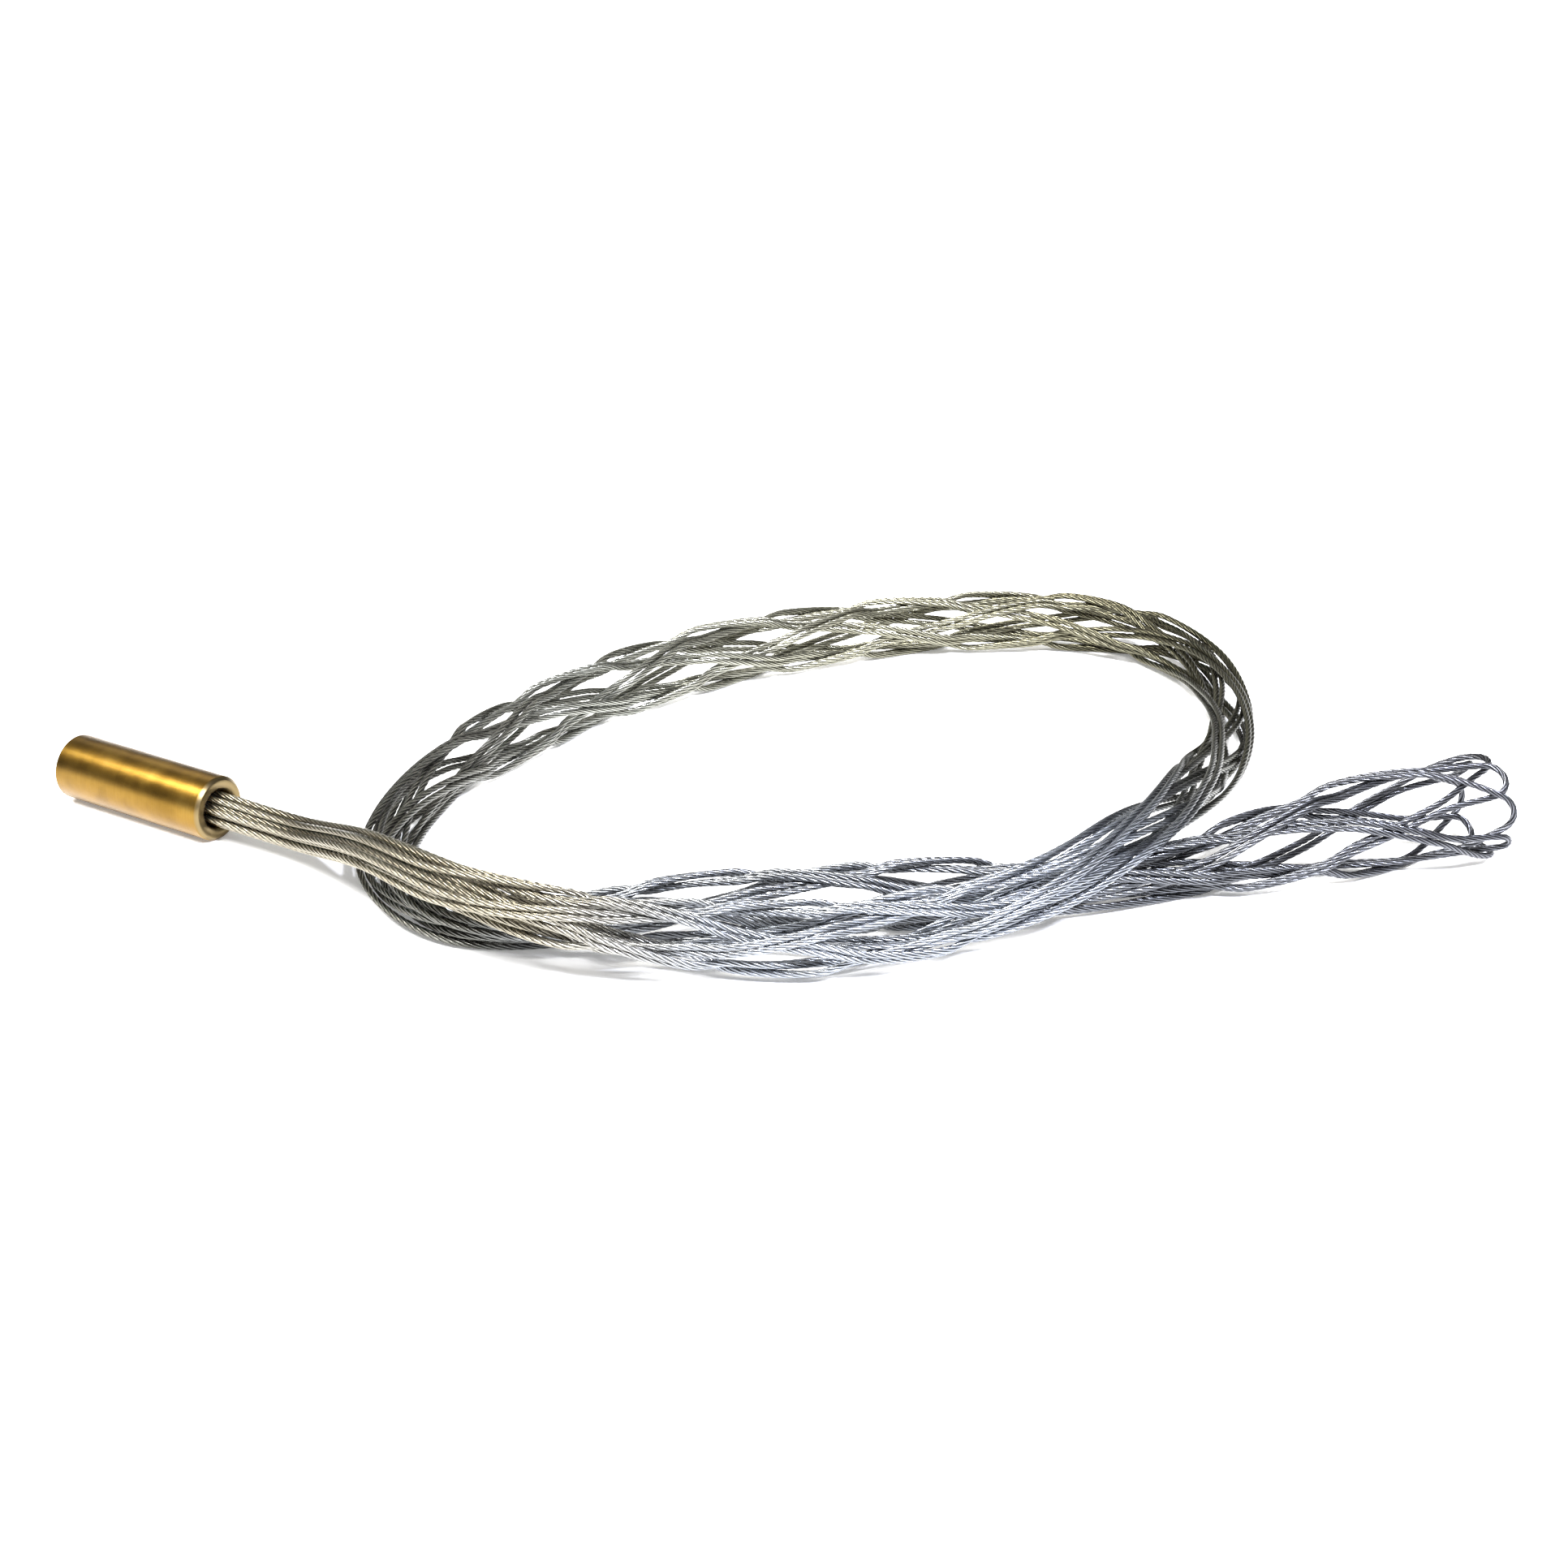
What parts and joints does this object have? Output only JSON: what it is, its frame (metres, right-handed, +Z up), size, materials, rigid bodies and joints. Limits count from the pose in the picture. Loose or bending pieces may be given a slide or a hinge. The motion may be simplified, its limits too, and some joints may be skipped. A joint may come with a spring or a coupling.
{
  "type": "cable pulling grip",
  "caption": "Wire rope cable pulling grip: a woven tubular net laid in a loop, with an open looped mouth, soldered into a small round brass ferrule with a female thread.",
  "frame": {"origin": "centre of the object's footprint, on the table that it lies on", "axes": "+Z up from the table; +X from the ferrule towards the net's open mouth; +Y away from the viewer, towards the back of the loop"},
  "size_m": [0.1752, 0.1084, 0.0125],
  "materials": {
    "ferrule": "turned, bright with a faint patina",
    "wire_rope": "galvanised, stranded, slightly dull",
    "solder": "dull grey soft solder"
  },
  "bodies": {
    "root": {"ferrule": "ferrule", "solder_plug": "solder", "wire_rope_1": "wire_rope", "wire_rope_2": "wire_rope", "wire_rope_3": "wire_rope", "wire_rope_4": "wire_rope", "wire_rope_5": "wire_rope", "wire_rope_6": "wire_rope", "wire_rope_7": "wire_rope", "wire_rope_8": "wire_rope"}
  },
  "joints": []
}
